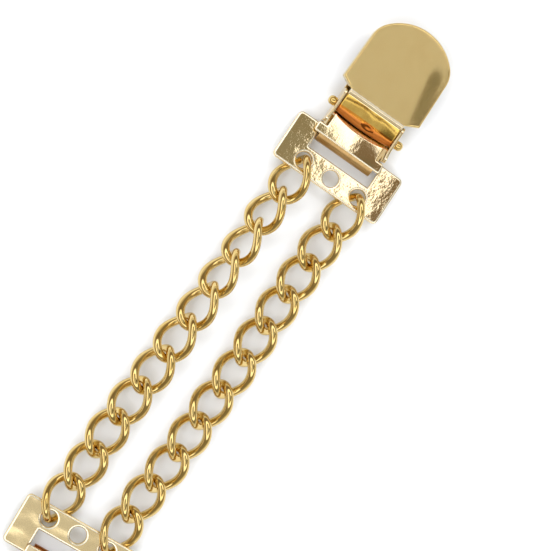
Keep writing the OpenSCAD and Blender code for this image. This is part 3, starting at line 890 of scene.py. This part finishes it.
FOCAL_PX, FRAME_PX, MM_PER_PX, SENSOR_MM = 2600.0, 551, 0.185, 36
LEAN_RIGHT, LEAN_UP = math.radians(-9.0), math.radians(1.0)
TURN = math.radians(35.71)
HOLE_IN_VIEW = Vector((9.91, 17.84, 0))

lean = Vector((math.sin(LEAN_RIGHT), math.sin(LEAN_UP), 0))
lean.z = math.sqrt(1 - lean.x ** 2 - lean.y ** 2)
eye = lean * FOCAL_PX * MM_PER_PX
right = (-lean).cross(Vector((0, 1, 0))).normalized()
above = right.cross(-lean)
to_part = Matrix.Rotation(TURN, 3, "Z")
hole = Vector(MOUNTS["middle_hole_a"]["pos_m"]) / MM
hole.z = 0
camera = bpy.data.cameras.new("photo camera")
camera.sensor_width = SENSOR_MM
camera.lens = SENSOR_MM * FOCAL_PX / FRAME_PX
camera.clip_start = 0.01
camera_object = bpy.data.objects.new("photo camera", camera)
bpy.context.scene.collection.objects.link(camera_object)
spot = (to_part @ (eye - HOLE_IN_VIEW) + hole) * MM
axes = Matrix((to_part @ right, to_part @ above, to_part @ lean)).transposed().to_4x4()
camera_object.matrix_world = Matrix.Translation(spot) @ axes
bpy.context.scene.camera = camera_object


# Floor: a sheet of white paper

FLOOR_HALF = 2
floor_corners = [(-FLOOR_HALF, -FLOOR_HALF, 0), (FLOOR_HALF, -FLOOR_HALF, 0),
                 (FLOOR_HALF, FLOOR_HALF, 0), (-FLOOR_HALF, FLOOR_HALF, 0)]
floor_mesh = bpy.data.meshes.new("floor")
floor_mesh.from_pydata(floor_corners, [], [(0, 1, 2, 3)])
floor = bpy.data.objects.new("floor", floor_mesh)
bpy.context.scene.collection.objects.link(floor)
paper = bpy.data.materials.new("white paper")
paper.use_nodes = True
paper.node_tree.nodes["Principled BSDF"].inputs["Base Color"].default_value = (0.84, 0.875, 0.94, 1)
paper.node_tree.nodes["Principled BSDF"].inputs["Roughness"].default_value = 0.9
paper.node_tree.nodes["Principled BSDF"].inputs["Specular IOR Level"].default_value = 0.0
floor_mesh.materials.append(paper)


# Sky: light and dark fields of a studio, which the metal reflects

world = bpy.data.worlds.new("studio")
bpy.context.scene.world = world
world.use_nodes = True
tree = world.node_tree
background = tree.nodes["Background"]
background.inputs["Strength"].default_value = 1.0
where = tree.nodes.new("ShaderNodeTexCoord")


def maths(kind, a, b):
    """A math node on two values, each a socket or a number."""
    node = tree.nodes.new("ShaderNodeMath")
    node.operation = kind
    for k, v in enumerate((a, b)):
        if isinstance(v, (int, float)):
            node.inputs[k].default_value = v
        else:
            tree.links.new(v, node.inputs[k])
    return node.outputs[0]


def share_along(v):
    """How far a direction points along v, a direction given in the part's frame."""
    node = tree.nodes.new("ShaderNodeVectorMath")
    node.operation = "DOT_PRODUCT"
    node.inputs[1].default_value = v
    tree.links.new(where.outputs["Generated"], node.inputs[0])
    return node.outputs["Value"]


def ramp(value, low, high):
    """0 below low and 1 above high, smooth between them; the other way round where low is above high."""
    node = tree.nodes.new("ShaderNodeMapRange")
    node.interpolation_type = "SMOOTHSTEP"
    node.inputs["From Min"].default_value = min(low, high)
    node.inputs["From Max"].default_value = max(low, high)
    if low > high:
        node.inputs["To Min"].default_value = 1
        node.inputs["To Max"].default_value = 0
    tree.links.new(value, node.inputs["Value"])
    return node.outputs["Result"]


def blend(factor, a, b):
    """Colour a where factor is 0 and colour b where it is 1."""
    node = tree.nodes.new("ShaderNodeMix")
    node.data_type = "RGBA"
    tree.links.new(factor, node.inputs["Factor"])
    for name, v in (("A", a), ("B", b)):
        if isinstance(v, tuple):
            node.inputs[name].default_value = v
        else:
            tree.links.new(v, node.inputs[name])
    return node.outputs["Result"]


WHITE = (2.0, 1.97, 1.9, 1)
CREAM = (0.85, 0.82, 0.77, 1)
GREY = (0.77, 0.755, 0.72, 1)
OLIVE = (0.30, 0.265, 0.175, 1)
BROWN = (0.23, 0.165, 0.10, 1)
UMBER = (0.26, 0.20, 0.13, 1)
DUSK = (0.19, 0.17, 0.11, 1)

# Directions in the part's frame: u across the clip, w towards the jaw's tip, h up
u, w, h = share_along((1, 0, 0)), share_along((0, 1, 0)), share_along((0, 0, 1))

# Overhead: grey, olive to the right, and a white and a brown field behind
plain = blend(ramp(u, 0.20, 0.26), GREY, OLIVE)
plain = blend(ramp(w, -0.245, -0.275), plain, WHITE)
plain = blend(ramp(w, -0.30, -0.34), plain, BROWN)

# Ahead: a white band between an olive and a brown field
diagonal = maths("ADD", u, maths("MULTIPLY", w, 0.5))
band = blend(ramp(diagonal, 0.251, 0.267), OLIVE, blend(ramp(u, 0.172, 0.188), WHITE, BROWN))
middle = blend(ramp(w, 0.20, 0.225), plain, band)

# From the horizon up: cream, darker fields, a white ring and the overhead fields
low_sky = blend(ramp(u, -0.3, 0.3), UMBER, OLIVE)
sky = blend(ramp(h, 0.30, 0.40), CREAM, low_sky)
sky = blend(ramp(h, 0.68, 0.74), sky, WHITE)
sky = blend(ramp(h, 0.86, 0.90), sky, middle)

# To the right: a dark wedge
beside = maths("MULTIPLY", ramp(u, 0.31, 0.34), ramp(w, 0.44, 0.38))
gap = maths("MULTIPLY", maths("MULTIPLY", ramp(u, 0.22, 0.27), ramp(u, 0.62, 0.55)), ramp(w, -0.05, 0.0))
wedge = maths("MULTIPLY", gap, maths("MAXIMUM", beside, ramp(w, 0.28, 0.25)))
tree.links.new(blend(wedge, sky, DUSK), background.inputs["Color"])


# Light: four soft panels of a light tent, kept out of reflections, where the sky stands for them

PANEL_OUT, PANEL_UP, PANEL_W, PANEL_H = 0.6, 0.7, 1.0, 0.8
PANELS = [("upper left", -1, 1, 3.2), ("upper right", 1, 1, 4.8),
          ("lower left", -1, -1, 4.8), ("lower right", 1, -1, 2.0)]


def panel(name, x, y, power):
    """A rectangular light aimed at the part, above the photo's corner at x (right) and y (up)."""
    lamp = bpy.data.lights.new(name, "AREA")
    lamp.shape = "RECTANGLE"
    lamp.size = PANEL_W
    lamp.size_y = PANEL_H
    lamp.energy = power
    obj = bpy.data.objects.new(name, lamp)
    bpy.context.scene.collection.objects.link(obj)
    place = to_part @ Vector((PANEL_OUT * x, PANEL_OUT * y, PANEL_UP))
    obj.matrix_world = Matrix.Translation(place) @ (-place).to_track_quat("-Z", "Y").to_matrix().to_4x4()
    obj.visible_glossy = False


for row in PANELS:
    panel(*row)
bpy.context.scene.view_settings.view_transform = "Standard"
